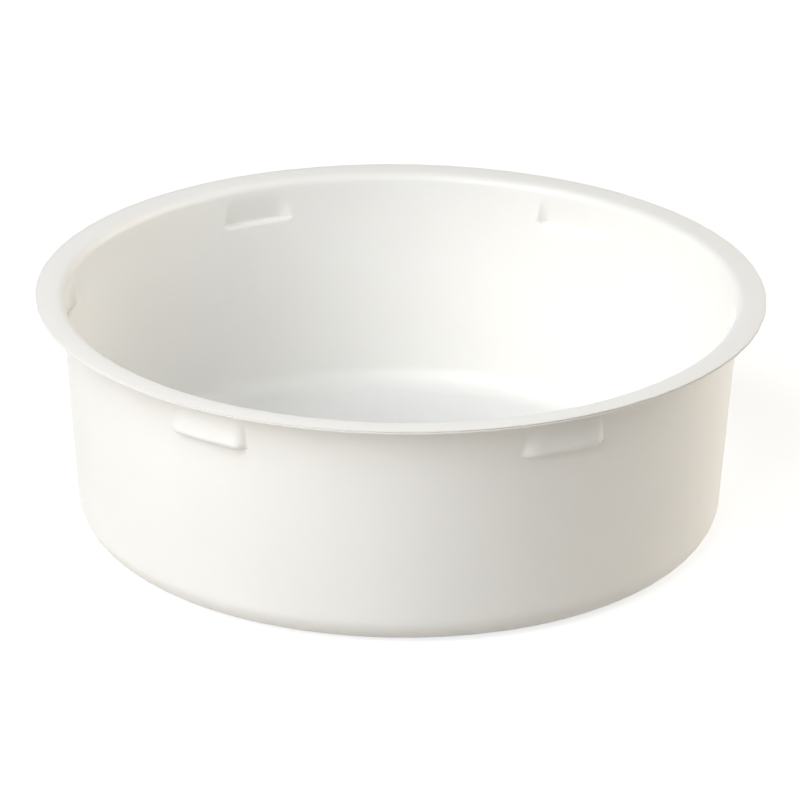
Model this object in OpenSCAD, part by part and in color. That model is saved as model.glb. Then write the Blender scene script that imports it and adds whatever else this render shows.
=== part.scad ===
// Round mixing tub for mortar and plaster, moulded in one sheet of white plastic.
//
// The tub is one moulding. It is drawn here as the regions that its mould forms, each a
// closed solid that meets its neighbours face to face: the floor, the heel that turns the
// floor up into the wall, the drafted side wall, the band under the rim with its six
// hollow nesting lugs, the rim's corner, its flat flange and the land at the flange's edge.
//
// The origin is the middle of the resting face and +Z points up. Sizes are millimetres.
// Sections are drawn in the plane of radius and height, and are spun round the +Z axis.

/* [Tub] */
// Outside diameter over the rim
rim_d = 320; // [280:5:400]
// Height from the resting face to the top of the rim
tub_h = 106; // [80:1:140]
// Thickness of the moulded sheet
sheet_t = 1.5; // [0.8:0.1:1.8]
// Draft of the side wall, in degrees from upright
wall_draft = 3.6; // [2:0.1:6]
// Outside radius of the heel, from the floor up into the wall
heel_r = 13; // [8:0.5:20]

/* [Rim] */
// Reach of the flange beyond the outside of the wall
flange_w = 11.3; // [9:0.1:16]
// Radius over the rim's corner, on its upper side
rim_corner_r = 4; // [2.6:0.1:5]
// Width of the land at the flange's outer edge
edge_w = 2; // [1:0.1:3]
// Depth of the parting line that runs round the edge
parting_d = 0.35; // [0.1:0.05:0.5]
// Height of the parting line's mouth
parting_h = 0.45; // [0.2:0.05:0.5]

/* [Nesting lugs] */
// Height of a lug's ledge below the top of the rim
ledge_drop = 20.5; // [16:0.5:28]
// Width of a lug at its ledge, where its sides leave the wall
lug_w = 35.5; // [24:0.5:48]
// Stand-off of a ledge from the wall
lug_out = 3; // [1.5:0.1:5]
// Slant of a lug's sides, which narrows it towards the rim
lug_slant = 15; // [0:1:20]
// Draft of a lug's sides, from square to the wall
lug_draft = 52; // [0:1:58]
// Plain wall that the band keeps below its ledges
band_margin = 5; // [2:0.5:12]

/* [Hidden] */
$fn = 180;

// Even pitch of the lugs, with the first one half a pitch from -Y
lug_count = 6;
lug_pitch = 360 / lug_count;
function lug_angle(n) = (n - 0.5) * lug_pitch;

rim_r = rim_d / 2;
rim_under_z = tub_h - sheet_t;
// The sheet as measured level through the drafted wall
wall_t = sheet_t / cos(wall_draft);
// Outside and inside radius of the drafted wall at a height
function wall_r(z) = rim_r - flange_w - (rim_under_z - z) * tan(wall_draft);
function wall_in_r(z) = wall_r(z) - wall_t;

// Middle of the heel's bend, inside the tub, and of the rim's bend, outside it
heel_mid = [wall_r(heel_r) - heel_r / cos(wall_draft), heel_r];
bend_z = tub_h - rim_corner_r;
bend_mid = [wall_in_r(bend_z) + rim_corner_r / cos(wall_draft), bend_z];
// The way square out of the drafted wall
wall_out = [cos(wall_draft), -sin(wall_draft)];

// Ends of the straight wall: where it leaves the heel, and where it meets the rim's bend
wall_foot_out = heel_mid + heel_r * wall_out;
wall_foot_in = heel_mid + (heel_r - sheet_t) * wall_out;
wall_head_out = bend_mid - (rim_corner_r - sheet_t) * wall_out;
wall_head_in = bend_mid - rim_corner_r * wall_out;

// Underside and top of a lug's ledge, and the foot of the band that carries the lugs
ledge_z = tub_h - ledge_drop;
ledge_top_z = ledge_z + sheet_t;
band_z = ledge_z - band_margin;
edge_in_r = rim_r - edge_w;
parting_z = tub_h - sheet_t / 3;

// Width of the arc that a lug's sections are spun through, and room for the cutting blocks
lug_sweep = lug_pitch / 2;
block = rim_d;

// A quarter of a bent sheet about its middle, with its outer face at radius r
module bent_sheet(middle, r, from, to) {
    far = 2 * r;
    translate(middle)
        intersection() {
            difference() {
                circle(r);
                circle(r - sheet_t);
            }
            polygon([[0, 0], far * [cos(from), sin(from)],
                     far * [cos((from + to) / 2), sin((from + to) / 2)],
                     far * [cos(to), sin(to)]]);
        }
}

// The flat floor, inside the heel
module floor_panel() {
    color("whitesmoke")
        cylinder(h = sheet_t, r = heel_mid[0]);
}

// The bend that turns the floor up into the wall
module floor_heel() {
    color("whitesmoke")
        rotate_extrude()
            bent_sheet(heel_mid, heel_r, -90, -wall_draft);
}

// The drafted wall, from the heel up to the lug band
module side_wall() {
    color("whitesmoke")
        rotate_extrude()
            polygon([wall_foot_out, [wall_r(band_z), band_z],
                     [wall_in_r(band_z), band_z], wall_foot_in]);
}

// The space between a lug's sides, drawn towards -Y, from a height up and less an inset
module lug_space(from_z, inset) {
    foot = [lug_w / 2, -wall_r(ledge_z), ledge_z];
    intersection() {
        for_both_sides()
            translate(foot)
                rotate([0, -lug_slant, 0])
                    rotate([0, 0, lug_draft])
                        translate([-block - inset, -block / 2, -block / 2])
                            cube(block);
        translate([-block / 2, -block, from_z])
            cube(block);
    }
}

// What is common to a shape and to its mirror image across the lug
module for_both_sides() {
    intersection() {
        children();
        mirror([1, 0, 0]) children();
    }
}

// The top of the wall, open where the lugs stand out of it
module lug_band() {
    color("whitesmoke")
        difference() {
            rotate_extrude()
                polygon([[wall_r(band_z), band_z], wall_head_out, wall_head_in,
                         [wall_in_r(band_z), band_z]]);
            for (n = [1:lug_count])
                rotate([0, 0, lug_angle(n)])
                    lug_space(ledge_top_z, 0);
        }
}

// A section spun through the arc that one lug needs, towards -Y
module lug_spin() {
    rotate([0, 0, -90 - lug_sweep / 2])
        rotate_extrude(angle = lug_sweep)
            children();
}

// One hollow lug: a face that leans out from the rim, its two sides, and its ledge, which
// meets the outside of the wall
module nesting_lug(n) {
    face_r = wall_r(ledge_z) + lug_out;
    color("whitesmoke")
        rotate([0, 0, lug_angle(n)])
            difference() {
                intersection() {
                    lug_spin()
                        polygon([wall_head_in, wall_head_out, [face_r, ledge_z],
                                 [wall_r(ledge_z), ledge_z],
                                 [wall_r(ledge_top_z), ledge_top_z],
                                 [wall_in_r(ledge_top_z), ledge_top_z]]);
                    lug_space(ledge_z, 0);
                }
                intersection() {
                    lug_spin()
                        polygon([wall_head_in, [face_r - wall_t, ledge_z],
                                 [wall_in_r(ledge_z) - lug_out, ledge_z],
                                 wall_head_in - [lug_out, 0]]);
                    lug_space(ledge_top_z, sheet_t);
                }
            }
}

// The bend that turns the wall out into the flange
module rim_corner() {
    color("whitesmoke")
        rotate_extrude()
            bent_sheet(bend_mid, rim_corner_r, 90, 180 - wall_draft);
}

// The flat flange round the mouth
module rim_flange() {
    color("whitesmoke")
        rotate_extrude()
            translate([bend_mid[0], rim_under_z])
                square([edge_in_r - bend_mid[0], sheet_t]);
}

// The land at the flange's edge, with the parting line that the mould leaves round it
module rim_edge() {
    color("whitesmoke")
        rotate_extrude()
            polygon([[edge_in_r, rim_under_z], [rim_r, rim_under_z],
                     [rim_r, parting_z - parting_h / 2],
                     [rim_r - parting_d, parting_z],
                     [rim_r, parting_z + parting_h / 2],
                     [rim_r, tub_h], [edge_in_r, tub_h]]);
}

floor_panel();
floor_heel();
side_wall();
lug_band();
rim_corner();
rim_flange();
rim_edge();
nesting_lug(1);  // nesting_lug_1
nesting_lug(2);  // nesting_lug_2
nesting_lug(3);  // nesting_lug_3
nesting_lug(4);  // nesting_lug_4
nesting_lug(5);  // nesting_lug_5
nesting_lug(6);  // nesting_lug_6
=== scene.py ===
# %% [markdown]
# # A mortar mixing tub
# This lesson dresses one part: a round, shallow tub for mixing mortar and plaster by hand.
# The real thing is a single sheet of white plastic that a mould has formed into a floor, a
# rounded heel, a slightly tapered wall, six hollow lugs that keep stacked tubs from jamming,
# and a flat rim. Everything that shows is one skin, so the lesson makes one skin: its section
# is drawn once, spun round, and then the lugs are pushed out of it.
#
# The solids of the tub are loaded first. They fix every size and place, in metres, with the
# origin in the middle of the resting face and +Z up.

# %% Load the frame
from math import atan, cos, degrees, hypot, pi, radians, sin, sqrt, tan

import bmesh
import bpy
from mathutils import Matrix, Vector


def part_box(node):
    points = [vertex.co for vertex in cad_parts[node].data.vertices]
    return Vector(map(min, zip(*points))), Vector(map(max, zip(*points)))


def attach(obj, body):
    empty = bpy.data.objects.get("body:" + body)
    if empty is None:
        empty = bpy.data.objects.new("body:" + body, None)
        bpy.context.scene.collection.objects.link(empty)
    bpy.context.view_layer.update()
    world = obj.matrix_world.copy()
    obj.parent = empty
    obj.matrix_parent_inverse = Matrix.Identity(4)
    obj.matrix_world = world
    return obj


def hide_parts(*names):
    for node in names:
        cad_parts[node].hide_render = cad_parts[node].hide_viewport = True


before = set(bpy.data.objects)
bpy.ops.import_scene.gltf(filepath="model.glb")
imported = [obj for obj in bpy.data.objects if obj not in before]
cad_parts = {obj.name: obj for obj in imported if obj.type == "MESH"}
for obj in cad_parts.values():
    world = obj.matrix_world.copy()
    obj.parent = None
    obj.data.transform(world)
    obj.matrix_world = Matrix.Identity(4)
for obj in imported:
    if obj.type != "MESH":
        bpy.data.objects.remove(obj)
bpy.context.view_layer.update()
print("nodes:", ", ".join(sorted(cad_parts)))

# %% [markdown]
# ## Read the sizes off the solids
# A spun solid's box gives its largest radius and its two heights. The draft of the wall is
# the slope between the wall's foot and its head, and each bend's radius follows from where
# the bend starts and stops. Nothing is measured twice, so the skin follows the solids if
# they change.

# %% Sizes of the tub
def reach(node):
    """The largest radius, the lowest and the highest point of a node spun round the axis."""
    low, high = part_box(node)
    return max(-low[0], high[0], -low[1], high[1]), low[2], high[2]


floor_r, _, SHEET = reach("floor_panel")
wall_foot_r, _, _ = reach("floor_heel")
band_foot_r, wall_foot_z, band_foot_z = reach("side_wall")
_, bend_foot_z, _ = reach("rim_corner")
RIM_R, flange_under_z, RIM_Z = reach("rim_edge")
flange_edge_r, _, _ = reach("rim_flange")

DRAFT = atan((band_foot_r - wall_foot_r) / (band_foot_z - wall_foot_z))
HEEL_R = (wall_foot_r - floor_r) / cos(DRAFT)
BEND_R = (RIM_Z - bend_foot_z - SHEET * sin(DRAFT)) / (1 - sin(DRAFT))
LEVEL_SHEET = SHEET / cos(DRAFT)


def wall_r(z):
    """Outside radius of the drafted wall at a height."""
    return wall_foot_r + (z - wall_foot_z) * tan(DRAFT)


print(f"rim {RIM_R * 2000:.1f} mm across, {RIM_Z * 1000:.1f} mm high, sheet {SHEET * 1000:.2f} mm")
print(f"draft {degrees(DRAFT):.2f} deg, heel {HEEL_R * 1000:.1f} mm, bend {BEND_R * 1000:.1f} mm")

# %% [markdown]
# ## Draw the section
# The section is a chain of edges in the plane of radius and height. It starts on the axis
# under the floor, at the small dimple where the plastic was let into the mould, runs up the
# outside, round the rim's edge and back down the inside to the axis again. The flange is very
# slightly crowned: it dips a hair towards its edge, and falls a few degrees where it nears the
# bend, as a thin moulded rim does. Its edge carries the parting line, where the two halves of
# the mould met, a fine groove just under the top. A few corners are enough, each with the
# radius that it is rounded to and the number of steps in its arc: a vertex bevel then rounds
# each one in turn.

# %% The corners of the section
SKIN_IN = 0.00005
GATE_R, GATE_DEPTH, GATE_SLOPE = 0.007, 0.0004, 0.0004
NUB_R, NUB_TALL, NUB_SLOPE = 0.0014, 0.00025, 0.00028
CROWN_R, CROWN_DIP, CROWN_ROUND = RIM_R - 0.0032, 0.00008, 0.06
FALL_START_R = RIM_R - 0.0068
FALL, FALL_ROUND = radians(9), 0.034
TOP_ROUND, UNDER_ROUND = 0.0002, 0.0003
NUB_ROUND, GATE_FOOT_ROUND, GATE_EDGE_ROUND = 0.0001, 0.0003, 0.0005
PARTING_TOP, PARTING_MOUTH, PARTING_DEPTH, PARTING_SLOPE = 0.00026, 0.00046, 0.0007, 0.00006
edge_r = RIM_R - SKIN_IN
edge_top_z = RIM_Z - CROWN_DIP
parting_z = edge_top_z - PARTING_TOP

section = bmesh.new()


def add_chain(mesh, points):
    """Joins points, each a radius and a height, with a run of edges, and returns the vertices."""
    verts = [mesh.verts.new((r, 0, z)) for r, z in points]
    for start, end in zip(verts, verts[1:]):
        mesh.edges.new((start, end))
    return verts


def bend_corner(depth):
    """Where the wall's slope meets the falling flange, at a depth below the top and outer skin."""
    skin_shift = LEVEL_SHEET - depth / cos(DRAFT)
    top_z = RIM_Z - depth / cos(FALL)
    slopes = tan(DRAFT) * tan(FALL)
    r = (wall_r(top_z) - skin_shift - FALL_START_R * slopes) / (1 - slopes)
    return r, top_z - (FALL_START_R - r) * tan(FALL)


SECTION = [  # radius, height, rounding, steps
    (0, GATE_DEPTH - NUB_TALL, 0, 0),
    (NUB_R, GATE_DEPTH - NUB_TALL, NUB_ROUND, 2),
    (NUB_R + NUB_SLOPE, GATE_DEPTH, NUB_ROUND, 2),
    (GATE_R, GATE_DEPTH, GATE_FOOT_ROUND, 3),
    (GATE_R + GATE_SLOPE, 0, GATE_EDGE_ROUND, 3),
    (wall_r(0), 0, HEEL_R, 24),
    (*bend_corner(SHEET), BEND_R - SHEET, 16),
    (FALL_START_R, flange_under_z, FALL_ROUND, 4),
    (edge_r, flange_under_z, UNDER_ROUND, 4),
    (edge_r, parting_z - PARTING_MOUTH, 0, 0),
    (edge_r - PARTING_DEPTH, parting_z - PARTING_MOUTH + PARTING_SLOPE, 0, 0),
    (edge_r - PARTING_DEPTH, parting_z - PARTING_SLOPE, 0, 0),
    (edge_r, parting_z, 0, 0),
    (edge_r, edge_top_z, TOP_ROUND, 4),
    (CROWN_R, RIM_Z, CROWN_ROUND, 3),
    (FALL_START_R, RIM_Z, FALL_ROUND, 8),
    (*bend_corner(0), BEND_R, 16),
    (wall_r(SHEET) - LEVEL_SHEET, SHEET, HEEL_R - SHEET, 24),
    (0, SHEET, 0, 0),
]
corners = add_chain(section, [(r, z) for r, z, _, _ in SECTION])
print(len(corners), "corners")


# %% Round the corners
def round_corner(vert, radius, steps):
    """Bevels one vertex of the chain into an arc of the radius given."""
    ways = [edge.other_vert(vert).co - vert.co for edge in vert.link_edges]
    turn = pi - ways[0].angle(ways[1])
    bmesh.ops.bevel(section, geom=[vert], offset=radius * tan(turn / 2), offset_type="OFFSET",
                    segments=steps, profile=0.5, affect="VERTICES", material=-1)


for vert, (_, _, radius, steps) in zip(corners, SECTION):
    if radius:
        round_corner(vert, radius, steps)
print("the section has", len(section.verts), "points")

# %% [markdown]
# ## Cut the rows
# Bisecting the chain with a plane adds a point wherever the plane crosses it, on the outer
# and the inner face alike. Level cuts make the rows that the lugs will be shaped from, close
# together round the ledge and wider apart on its face. A few more rows next to each bend
# hold the flat faces flat, because smooth shading would otherwise bleed into them. Each point
# is then given the number of its row, which stays with its copies through the spin.

# %% Rows across the wall, the floor and the flange
LUGS = sorted(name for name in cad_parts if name.startswith("nesting_lug_"))
side_lug = max(LUGS, key=lambda name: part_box(name)[1][0])
lug_low, lug_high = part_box(side_lug)
LEDGE_Z, LIP_R, LUG_HALF = lug_low[2], lug_high[0], (lug_high[1] - lug_low[1]) / 2

ROOT_ROUND = 0.0004
LIP_ACROSS, LIP_TALL = 0.0019, 0.0024
LIP_ROOM = 1.15
LEDGE_ROWS, FACE_ROWS, WALL_ROWS, FLOOR_ROWS = 20, 14, 9, 5
HOLD, EDGE_HOLD, FLOOR_FIRST_R = 0.0006, 0.00004, 2 * GATE_R
ON_PLANE, NEAR = 1e-7, 1e-6
ledge_start_z = LEDGE_Z - ROOT_ROUND
ledge_stop_z = LEDGE_Z + LIP_ROOM * LIP_TALL
wall_head_z = bend_corner(SHEET)[1] - (BEND_R - SHEET)


def between(start, stop, steps):
    """The evenly spaced values from start to stop, both ends included."""
    return [start + (stop - start) * i / steps for i in range(steps + 1)]


def cut(place, normal):
    """Adds a point to the section wherever a plane crosses it."""
    bmesh.ops.bisect_plane(section, geom=section.verts[:] + section.edges[:], dist=ON_PLANE,
                           plane_co=place, plane_no=normal)


heights = (between(wall_foot_z + HOLD, ledge_start_z, WALL_ROWS)
           + between(ledge_start_z, ledge_stop_z, LEDGE_ROWS)[1:]
           + between(ledge_stop_z, wall_head_z - HOLD, FACE_ROWS)[1:]
           + [flange_under_z + UNDER_ROUND + EDGE_HOLD])
for z in heights:
    cut((0, 0, z), (0, 0, 1))
for r in between(FLOOR_FIRST_R, floor_r - HOLD, FLOOR_ROWS) + [flange_edge_r, RIM_R - HOLD]:
    cut((r, 0, 0), (1, 0, 0))
print("the section has", len(section.verts), "points in", len(heights), "level rows")


# %% Number the rows
def walk(start):
    """The vertices of the chain in order, from one end to the other."""
    order, last = [start], None
    while True:
        onward = [edge for edge in order[-1].link_edges if edge is not last]
        if not onward:
            return order
        last = onward[0]
        order.append(last.other_vert(order[-1]))


row_of = section.verts.layers.int.new("row")
section_points = []
ends = [vert for vert in section.verts if len(vert.link_edges) == 1]
for row, vert in enumerate(walk(min(ends, key=lambda vert: vert.co.z))):
    vert[row_of] = row
    section_points.append((vert.co.x, vert.co.z))
print(len(section_points), "rows, from", section_points[0], "to", section_points[-1])

# %% [markdown]
# ## Spin the skin
# A plain ring needs a column only every two degrees or so, but the sloping sides of a lug
# need several columns to the millimetre. So the section is spun in turns: finely over the
# left side of a lug, as it is seen from outside, coarsely over its face, finely over its
# right side and coarsely again to the next lug. The last section lands on the first, and
# merging the doubles closes both the seam and the poles.

# %% Spin
LEFT_RUN, LEFT_SLANT, LEFT_STEPS = 0.0082, radians(15), 26
RIGHT_RUN, RIGHT_SLANT, RIGHT_STEPS = 0.0056, radians(6), 22
FACE_STEPS, PLAIN_STEPS = 10, 8
SIDE_MARGIN = 0.0008
WELD = 5e-6
pitch = 2 * pi / len(LUGS)
lug_turn = 2 * (LUG_HALF + SIDE_MARGIN) / wall_r(LEDGE_Z)


def side_turn(run, slant):
    """The angle that one side of a lug takes up, from the wall below to the face above."""
    return (SIDE_MARGIN + run + (wall_head_z - LEDGE_Z) * tan(slant)) / wall_r(LEDGE_Z)


left_turn, right_turn = side_turn(LEFT_RUN, LEFT_SLANT), side_turn(RIGHT_RUN, RIGHT_SLANT)


def spin(mesh, geometry, angle, steps):
    """Sweeps geometry round the axis and returns the copy at the far end."""
    return bmesh.ops.spin(mesh, geom=geometry, cent=(0, 0, 0), axis=(0, 0, 1), dvec=(0, 0, 0),
                          angle=angle, steps=steps, use_merge=False, use_duplicate=False,
                          use_normal_flip=False)["geom_last"]


bmesh.ops.rotate(section, verts=section.verts[:], cent=(0, 0, 0),
                 matrix=Matrix.Rotation(-lug_turn / 2, 3, "Z"))
sweep = section.verts[:] + section.edges[:]
for _ in LUGS:
    sweep = spin(section, sweep, left_turn, LEFT_STEPS)
    sweep = spin(section, sweep, lug_turn - left_turn - right_turn, FACE_STEPS)
    sweep = spin(section, sweep, right_turn, RIGHT_STEPS)
    sweep = spin(section, sweep, pitch - lug_turn, PLAIN_STEPS)
bmesh.ops.remove_doubles(section, verts=section.verts[:], dist=WELD)
bmesh.ops.recalc_face_normals(section, faces=section.faces[:])
open_edges = [edge for edge in section.edges if len(edge.link_faces) != 2]
print(len(section.faces), "faces,", len(open_edges), "open edges")

# %% [markdown]
# ## Draw the section through a lug
# When clean tubs are stacked, the ledges are there to rest on the rim below, so that the
# walls don't wedge together. On the real tub a lug is a hollow blister in the sheet: a ledge
# that stands square out of the wall, a lip, and a face that leans back until it meets the
# rim's bend.
#
# A separate block joined on with a boolean would leave a hard seam where the moulding has
# none. So a lug is the same wall, pushed outwards. Its section has one point for every row
# of the plain wall. The root where the ledge leaves the wall is a tight arc, and the lip is
# an oval, taller than it is deep, because warm plastic thins as it is drawn over a corner.
# Both are drawn by the angle of the surface, so that the inner face is the outer one moved
# in by the thickness of the sheet.

# %% The section through a lug
def arc(middle, radius, start, stop, steps=12):
    """Points on an arc about a middle, each a radius and a height."""
    return [(middle[0] + radius * cos(a), middle[1] + radius * sin(a))
            for a in between(start, stop, steps)]


def spaced(points, steps):
    """Points at even distances along a line through the points given."""
    line = [Vector(point) for point in points]
    lengths = [(b - a).length for a, b in zip(line, line[1:])]
    places = []
    for want in between(0, sum(lengths), steps):
        for a, b, length in zip(line, line[1:], lengths):
            if want <= length or b is line[-1]:
                places.append(a.lerp(b, min(want / length, 1)))
                break
            want -= length
    return places


lean = atan((LIP_R - wall_r(wall_head_z)) / (wall_head_z - LEDGE_Z))
root = (wall_r(ledge_start_z) + ROOT_ROUND / cos(DRAFT), ledge_start_z)
lip_reach = hypot(LIP_ACROSS * cos(lean), LIP_TALL * sin(lean))
lip = (LIP_R - (lip_reach + LIP_TALL * sin(lean)) / cos(lean), LEDGE_Z + LIP_TALL)


def lip_curve(depth, steps=16):
    """The lip's tall oval at a depth below the outer face, from its underside up to the face."""
    points = []
    for a in between(-pi / 2, lean, steps):
        size = hypot(LIP_ACROSS * cos(a), LIP_TALL * sin(a))
        points.append((lip[0] + (LIP_ACROSS ** 2 / size - depth) * cos(a),
                       lip[1] + (LIP_TALL ** 2 / size - depth) * sin(a)))
    return points


def ledge_line(depth):
    """The ledge's section at a depth below the outer face, from the wall round to the face."""
    return arc(root, ROOT_ROUND + depth, pi - DRAFT, pi / 2) + lip_curve(depth)


def soft_start(share, start):
    """Runs from 0 to 1 as the share does, but leaves 0 softly over the first part given."""
    run = share * share / (2 * start) if share < start else share - start / 2
    return run / (1 - start / 2)


FACE_EASE = 0.3


def lug_rows(rows, depth):
    """Where the rows of one face of the sheet lie on the lug, as (stand-off, height)."""
    places = {}
    ledge = [row for row in rows if abs(2 * section_points[row][1] - ledge_start_z - ledge_stop_z)
             <= ledge_stop_z - ledge_start_z + NEAR]
    ledge.sort(key=lambda row: section_points[row][1])
    line = spaced(ledge_line(depth), len(ledge) - 1)
    for row, (r, z) in zip(ledge, line):
        places[row] = (r - wall_r(z) + depth / cos(DRAFT), z)
    bulge, lip_z = places[ledge[-1]]
    for row in rows:
        z = section_points[row][1]
        if ledge_stop_z + NEAR < z < wall_head_z:
            share = (wall_head_z - z) / (wall_head_z - lip_z)
            places[row] = (bulge * soft_start(share, FACE_EASE), z)
    return places


edge_row = max(range(len(section_points)), key=lambda row: section_points[row][0])
wall_rows = [row for row, point in enumerate(section_points) if point[0] > wall_foot_r / 2]
outer_rows = [row for row in wall_rows if row < edge_row]
inner_rows = [row for row in wall_rows if row > edge_row]
lug_places = {**lug_rows(outer_rows, 0), **lug_rows(inner_rows, SHEET)}
print(len(lug_places), "rows take part in a lug; its face leans", round(degrees(lean), 1), "deg")

# %% [markdown]
# ## Push out the lugs
# A vertex slides from its plain place on the wall towards its place on the lug's section.
# How far it slides is 1 on the face and 0 on the wall. From the foot of each side it sets
# off softly and then eases into the face, which gives the soft sides that a mould leaves.
# The two sides aren't alike. The left one, as seen from outside, is a long ramp that slants
# well in towards the rim. The right one is short and steep, and the face stands out a little
# more towards it. A twist one way may then help to free a stacked tub.
#
# Heights slide sooner than radii, so that the ledge stays level until it dies out in the
# wall, and its two lower corners are rounded. Inside, the pocket is a little narrower than
# the lug, by the sheet in its sides.

# %% Slide the rows out
FOOT_EASE = 0.25
POCKET_IN = 0.0012
LEFT_CORNER, RIGHT_CORNER = 0.0032, 0.0045
LEVEL_SOONER = 3
STANDS, RIGHT_STANDS = 1.12, 0.2


def rise(inward, run):
    """How far out a lug's side has come, from 0 at its foot to 1 on the face, a run further in."""
    share = soft_start(min(max(inward / run, 0), 1), FOOT_EASE)
    return share * (2 - share)


def corner_lift(inward, radius):
    """How much higher the ledge lies near the foot of a side, round its lower corner."""
    short = min(max(radius - inward, 0), radius)
    return radius - sqrt(radius ** 2 - short ** 2)


moved = 0
face_tall = wall_head_z - ledge_stop_z
for vert in section.verts:
    place = lug_places.get(vert[row_of])
    if place is None:
        continue
    bulge, lug_z = place
    plain_r, plain_z = section_points[vert[row_of]]
    angle = Vector((vert.co.x, vert.co.y)).angle_signed(Vector((1, 0)))
    across = ((angle + pitch / 2) % pitch - pitch / 2) * wall_r(LEDGE_Z)
    run, slant, corner = ((RIGHT_RUN, RIGHT_SLANT, RIGHT_CORNER) if across > 0
                          else (LEFT_RUN, LEFT_SLANT, LEFT_CORNER))
    inward = LUG_HALF - (lug_z - LEDGE_Z) * tan(slant) - abs(across)
    if vert[row_of] > edge_row:
        inward -= POCKET_IN
    out = rise(inward, run)
    if out > 0:
        lift = corner_lift(inward, corner) * min((wall_head_z - lug_z) / face_tall, 1)
        z = plain_z + (lug_z + lift - plain_z) * min(out * LEVEL_SOONER, 1)
        stand = STANDS + RIGHT_STANDS * across / LUG_HALF
        r = plain_r + (z - plain_z) * tan(DRAFT) + bulge * out * stand
        vert.co = (r * cos(angle), r * sin(angle), z)
        moved += 1
print(moved, "vertices moved on", len(LUGS), "lugs")

# %% [markdown]
# ## Make the tub
# The skin becomes one object, because the real tub is one piece. It takes the place of all
# the solids and rides on the one body that they share. It is shaded smooth, but for the
# corners that turn by more than 45 degrees, such as those of the parting line: without a
# sharp edge there, the shading would smear over the corner.

# %% Make the tub
SHARP = radians(45)


def finish_piece(name, mesh_builder):
    """Turns a bmesh into an object at the origin, smooth-shaded but for its sharp corners."""
    for face in mesh_builder.faces:
        face.smooth = True
    for edge in mesh_builder.edges:
        edge.smooth = edge.calc_face_angle() < SHARP
    mesh = bpy.data.meshes.new(name)
    mesh_builder.to_mesh(mesh)
    mesh_builder.free()
    piece = bpy.data.objects.new(name, mesh)
    bpy.context.collection.objects.link(piece)
    return piece


tub = finish_piece("tub_shell", section)
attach(tub, "root")
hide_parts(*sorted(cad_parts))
tub.data.calc_loop_triangles()
print(tub.name, len(tub.data.loop_triangles), "triangles")

# %% [markdown]
# ## White plastic
# The sheet is polypropylene with a white pigment. One even white would look like paint, so
# the finish is put together from what the making leaves behind:
#
# - pale clouds in the colour, less than one part in fifty, where the melt flowed and cooled;
# - a satin grain all over, from the eroded steel of the mould, in the bump and the gloss;
# - upright drag marks on the walls, where the tub was pulled off the mould;
# - shallow waves, because a thin wall never cools quite true;
# - fine rub marks in the gloss, from stacking.
#
# Each one is a noise on Object coordinates, whose scale is one over the size of its patches in
# metres. Heights are in metres too, so one bump node with a distance of 1 adds them all up.
# The sheet is thin enough for some light to pass through it, which a flat colour over a solid
# can't show. Subsurface scattering in a closed skin does show it: the side in the shade glows.

# %% Helpers for the finish
def patches(tree, size, detail, tall=1, swirl=0):
    """A noise with patches of about a size in metres, drawn out upwards, and swirled."""
    place = tree.nodes.new("ShaderNodeTexCoord")
    squeeze = tree.nodes.new("ShaderNodeMapping")
    squeeze.inputs["Scale"].default_value = (1, 1, 1 / tall)
    noise = tree.nodes.new("ShaderNodeTexNoise")
    noise.inputs["Scale"].default_value = 1 / size
    noise.inputs["Detail"].default_value = detail
    noise.inputs["Distortion"].default_value = swirl
    tree.links.new(place.outputs["Object"], squeeze.inputs["Vector"])
    tree.links.new(squeeze.outputs["Vector"], noise.inputs["Vector"])
    return noise.outputs["Fac"]


def reckon(tree, operation, *terms):
    """A Math node of the terms given, which are numbers or sockets, and its result."""
    node = tree.nodes.new("ShaderNodeMath")
    node.operation = operation
    for socket, term in zip(node.inputs, terms):
        if isinstance(term, bpy.types.NodeSocket):
            tree.links.new(term, socket)
        else:
            socket.default_value = term
    return node.outputs[0]


def ramp(tree, value, low, high, to_low=0, to_high=1):
    """A Map Range node, which also holds its result between its two ends."""
    node = tree.nodes.new("ShaderNodeMapRange")
    tree.links.new(value, node.inputs["Value"])
    for name, number in (("From Min", low), ("From Max", high),
                         ("To Min", to_low), ("To Max", to_high)):
        node.inputs[name].default_value = number
    return node.outputs[0]


def upright_share(tree):
    """A value that is 1 on the walls, and 0 on the floor and the flange."""
    place = tree.nodes.new("ShaderNodeTexCoord")
    split = tree.nodes.new("ShaderNodeSeparateXYZ")
    tree.links.new(place.outputs["Object"], split.inputs[0])
    foot = ramp(tree, split.outputs["Z"], 2 * SHEET, HEEL_R)
    head = ramp(tree, split.outputs["Z"], wall_head_z, flange_under_z, 1, 0)
    return reckon(tree, "MULTIPLY", foot, head)


# %% Material
GRAIN_SIZE, GRAIN_DETAIL, GRAIN_TALL = 0.0011, 2, 0.000007
DRAG_SIZE, DRAG_DETAIL, DRAG_LONG, DRAG_TALL = 0.0024, 2, 22, 0.000006
WAVE_SIZE, WAVE_DETAIL, WAVE_TALL = 0.045, 1, 0.00016
CLOUD_SIZE, CLOUD_DETAIL = 0.06, 4
CLOUD_DARK, CLOUD_LIGHT = (0.891, 0.891, 0.871, 1), (0.909, 0.909, 0.889, 1)
NOISE_LOW, NOISE_HIGH = 0.3, 0.7
RUB_SIZE, RUB_DETAIL, RUB_SWIRL, RUB_WIDTH = 0.009, 1, 3, 0.012
DULL, GLOSSY, RUB_DULLS = 0.47, 0.37, 0.05
POLYPROPYLENE_IOR = 1.49
THROUGH_SHARE, THROUGH_DEPTH, THROUGH_COLOUR = 0.3, 0.015, (1.3, 1, 0.75)

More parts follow.
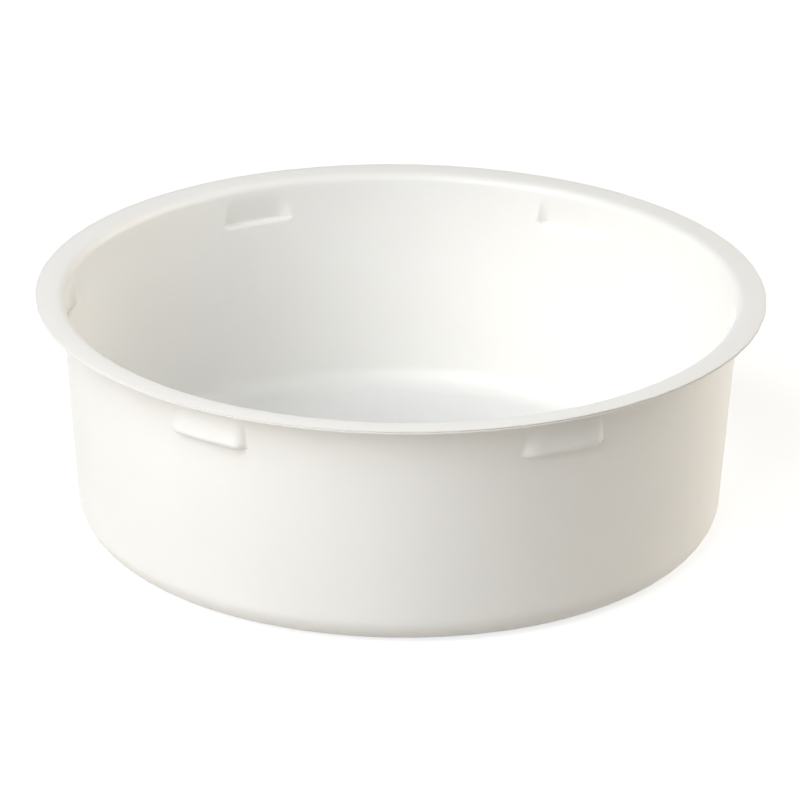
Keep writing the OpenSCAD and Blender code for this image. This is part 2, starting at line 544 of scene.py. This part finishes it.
plastic = bpy.data.materials.new("white_polypropylene")
plastic.use_nodes = True
tree = plastic.node_tree
shader = tree.nodes["Principled BSDF"]
shader.inputs["Subsurface Weight"].default_value = THROUGH_SHARE
shader.inputs["Subsurface Radius"].default_value = THROUGH_COLOUR
shader.inputs["Subsurface Scale"].default_value = THROUGH_DEPTH
shader.inputs["IOR"].default_value = POLYPROPYLENE_IOR

cloud = tree.nodes.new("ShaderNodeValToRGB")
dark, light = cloud.color_ramp.elements
dark.position, dark.color = NOISE_LOW, CLOUD_DARK
light.position, light.color = NOISE_HIGH, CLOUD_LIGHT
tree.links.new(patches(tree, CLOUD_SIZE, CLOUD_DETAIL), cloud.inputs["Fac"])
tree.links.new(cloud.outputs["Color"], shader.inputs["Base Color"])

grain = patches(tree, GRAIN_SIZE, GRAIN_DETAIL)
drag = patches(tree, DRAG_SIZE, DRAG_DETAIL, DRAG_LONG)
drag = reckon(tree, "MULTIPLY", drag, upright_share(tree))
relief = reckon(tree, "MULTIPLY", grain, GRAIN_TALL)
relief = reckon(tree, "MULTIPLY_ADD", drag, DRAG_TALL, relief)
relief = reckon(tree, "MULTIPLY_ADD", patches(tree, WAVE_SIZE, WAVE_DETAIL), WAVE_TALL, relief)
bump = tree.nodes.new("ShaderNodeBump")
bump.inputs["Distance"].default_value = 1
tree.links.new(relief, bump.inputs["Height"])
tree.links.new(bump.outputs["Normal"], shader.inputs["Normal"])

swirls = patches(tree, RUB_SIZE, RUB_DETAIL, swirl=RUB_SWIRL)
off_line = reckon(tree, "ABSOLUTE", reckon(tree, "SUBTRACT", swirls, 0.5))
rub = ramp(tree, off_line, 0, RUB_WIDTH, RUB_DULLS, 0)
rough = reckon(tree, "ADD", ramp(tree, grain, NOISE_LOW, NOISE_HIGH, GLOSSY, DULL), rub)
tree.links.new(rough, shader.inputs["Roughness"])
tub.data.materials.append(plastic)
print(plastic.name, "has", len(tree.nodes), "nodes")

# %% [markdown]
# ## Stage
# The tub stands on a sheet of matt paper. A white tub on white paper needs care: light that
# is strong enough to bleach the paper would bleach the tub too, and its shape would be gone.
# So the paper's own colour is a light warm grey, and the rest of its white is a glow that
# only the camera and reflections see, as with the white of the room. The paper still keeps
# the tub's shadow, and the soft light that it throws up onto the wall is only what the lamps
# give it.

# %% Seen directly
def seen_share(tree):
    """A value that is 1 for what the camera sees directly, in a gloss or through glass, else 0."""
    path = tree.nodes.new("ShaderNodeLightPath")
    total = path.outputs["Is Camera Ray"]
    for name in ("Is Glossy Ray", "Is Transmission Ray"):
        add = tree.nodes.new("ShaderNodeMath")
        add.operation, add.use_clamp = "ADD", True
        tree.links.new(total, add.inputs[0])
        tree.links.new(path.outputs[name], add.inputs[1])
        total = add.outputs[0]
    return total


# %% Floor
PAPER, PAPER_GLOW = (0.51, 0.49, 0.455, 1), (0.71, 0.725, 0.74, 1)
PAPER_ROUGH, PAPER_WIDE, PAPER_BELOW = 0.9, 12, 0.0002
bpy.ops.mesh.primitive_plane_add(size=PAPER_WIDE, location=(0, 0, -PAPER_BELOW))
floor = bpy.context.object
floor.name = "floor"
paper = bpy.data.materials.new("paper")
paper.use_nodes = True
tree = paper.node_tree
paper_shader = tree.nodes["Principled BSDF"]
paper_shader.inputs["Base Color"].default_value = PAPER
paper_shader.inputs["Roughness"].default_value = PAPER_ROUGH
paper_shader.inputs["Specular IOR Level"].default_value = 0
paper_shader.inputs["Emission Color"].default_value = PAPER_GLOW
tree.links.new(seen_share(tree), paper_shader.inputs["Emission Strength"])
floor.data.materials.append(paper)

# %% World
ROOM_COLOUR, ROOM_LIGHT = (1, 0.9, 0.8, 1), 0.01
world = bpy.data.worlds.new("studio")
bpy.context.scene.world = world
world.use_nodes = True
tree = world.node_tree
room = tree.nodes["Background"]
room.inputs["Color"].default_value = ROOM_COLOUR
room.inputs["Strength"].default_value = ROOM_LIGHT
white = tree.nodes.new("ShaderNodeBackground")
white.inputs["Color"].default_value = (1, 1, 1, 1)
white.inputs["Strength"].default_value = 1
mix = tree.nodes.new("ShaderNodeMixShader")
tree.links.new(seen_share(tree), mix.inputs["Fac"])
tree.links.new(room.outputs[0], mix.inputs[1])
tree.links.new(white.outputs[0], mix.inputs[2])
tree.links.new(mix.outputs[0], tree.nodes["World Output"].inputs["Surface"])

# %% [markdown]
# ## Light
# One large soft lamp stands in front on the left. A warmer one with a little over half its
# power stands low on the right, slightly behind the tub, and a weak one behind on the left.
# That leaves the left of the wall bright and its front right in a soft shade, and the turn
# from one to the other is what shows that the wall is round. The lamps are squares much
# larger than the tub, so that no shadow has a hard edge.

# %% Lamps
def lamp(name, azimuth, elevation, distance, size, power, colour):
    """A square area light that faces the tub. Azimuth 0 stands in front, 90 on the right."""
    light = bpy.data.lights.new(name, "AREA")
    light.shape, light.size, light.energy, light.color = "SQUARE", size, power, colour
    obj = bpy.data.objects.new(name, light)
    a, e = radians(azimuth), radians(elevation)
    back = Vector((sin(a) * cos(e), -cos(a) * cos(e), sin(e)))
    obj.location = back * distance + Vector((0, 0, RIM_Z / 2))
    obj.rotation_euler = back.to_track_quat("Z", "Y").to_euler()
    bpy.context.collection.objects.link(obj)
    return obj


lamp("key", -38.5, 38.5, 2.0, 2.0, 54, (1, 0.99, 0.98))
lamp("right", 113, 20, 2.0, 1.6, 31, (1, 0.92, 0.8))
lamp("back_left", -120, 30, 2.0, 2.0, 6, (1, 1, 1))

# %% [markdown]
# ## Camera
# The camera looks down into the tub from a little above its rim, far away through a long
# lens, so that the near and far sides of the rim are almost the same size. It is rolled by
# a hair, as one on a hand-set tripod is.

# %% Camera
CAMERA_TURN, CAMERA_RISE, CAMERA_ROLL = radians(2.6), radians(22.9), radians(0.6)
CAMERA_FAR, AIM_RIGHT, AIM_BELOW_RIM = 12 * RIM_R, 0.0001, 0.3356 * RIM_R
CAMERA_LENS, CAMERA_SENSOR = 194.8, 36
CAMERA_NEAR_CLIP, CAMERA_FAR_CLIP = 0.05, 30
camera = bpy.data.objects.new("camera", bpy.data.cameras.new("camera"))
camera.data.lens, camera.data.sensor_width = CAMERA_LENS, CAMERA_SENSOR
camera.data.clip_start, camera.data.clip_end = CAMERA_NEAR_CLIP, CAMERA_FAR_CLIP
back = Vector((sin(CAMERA_TURN) * cos(CAMERA_RISE), -cos(CAMERA_TURN) * cos(CAMERA_RISE),
               sin(CAMERA_RISE)))
aim = Vector((AIM_RIGHT, 0, RIM_Z - AIM_BELOW_RIM))
camera.location = aim + back * CAMERA_FAR
camera.rotation_euler = (back.to_track_quat("Z", "Y").to_matrix()
                         @ Matrix.Rotation(CAMERA_ROLL, 3, "Z")).to_euler()
bpy.context.collection.objects.link(camera)
bpy.context.scene.camera = camera
bpy.context.scene.view_settings.view_transform = "Standard"
